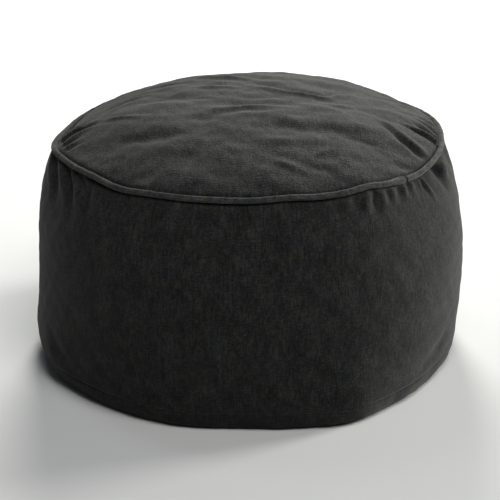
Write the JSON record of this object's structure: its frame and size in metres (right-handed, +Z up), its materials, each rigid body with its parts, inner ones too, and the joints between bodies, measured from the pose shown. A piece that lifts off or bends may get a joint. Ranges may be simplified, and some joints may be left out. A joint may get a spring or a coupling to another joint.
{
  "type": "floor cushion",
  "caption": "Round drum-shaped floor cushion in dark fabric, with a domed piped top, a lower band with a rear zip, and a sewn inner bag of loose beads.",
  "frame": {"origin": "centre of the base, on the floor", "axes": "+Z up through the centre of the top; -Y is the front, and the zip runs round the back, +Y"},
  "size_m": [0.56, 0.56, 0.339],
  "materials": {
    "cover_fabric": "brushed charcoal weave with slubs",
    "base_fabric": "plain hard-wearing dark canvas",
    "piping_cord": "twisted undyed cotton",
    "zip_tape": "flat woven polyester tape",
    "zip_coil": "moulded nylon coil",
    "zip_metal": "dark enamelled zinc alloy",
    "inner_bag_cloth": "thin off-white lining cloth",
    "bead_fill": "white expanded beads"
  },
  "bodies": {
    "cushion": {"top_panel": "cover_fabric", "front_wall_panel": "cover_fabric", "rear_wall_panel": "cover_fabric", "lower_band": "cover_fabric", "base_panel": "base_fabric", "piping_sleeve": "cover_fabric", "piping_cord": "piping_cord", "inner_bag_top": "inner_bag_cloth", "inner_bag_wall": "inner_bag_cloth", "inner_bag_base": "inner_bag_cloth", "bead_fill": "bead_fill", "upper_zip_tape": "zip_tape", "lower_zip_tape": "zip_tape", "upper_zip_coil": "zip_coil", "lower_zip_coil": "zip_coil", "upper_zip_top_stop": "zip_metal", "lower_zip_top_stop": "zip_metal", "zip_bottom_stop": "zip_metal"},
    "zip_slider": {"zip_slider": "zip_metal"},
    "zip_pull": {"zip_pull": "zip_metal"}
  },
  "joints": [
    {"name": "zip_slide", "type": "hinge", "parent": "cushion", "child": "zip_slider", "pos_m": [0, 0, 0.031], "axis": [0, 0, 1], "range_deg": [0, 119.2]},
    {"name": "zip_pull_swing", "type": "hinge", "parent": "zip_slider", "child": "zip_pull", "pos_m": [0.24293, 0.14264, 0.03066], "axis": [-0.103, -0.0605, -0.9928], "range_deg": [0, 180]}
  ]
}
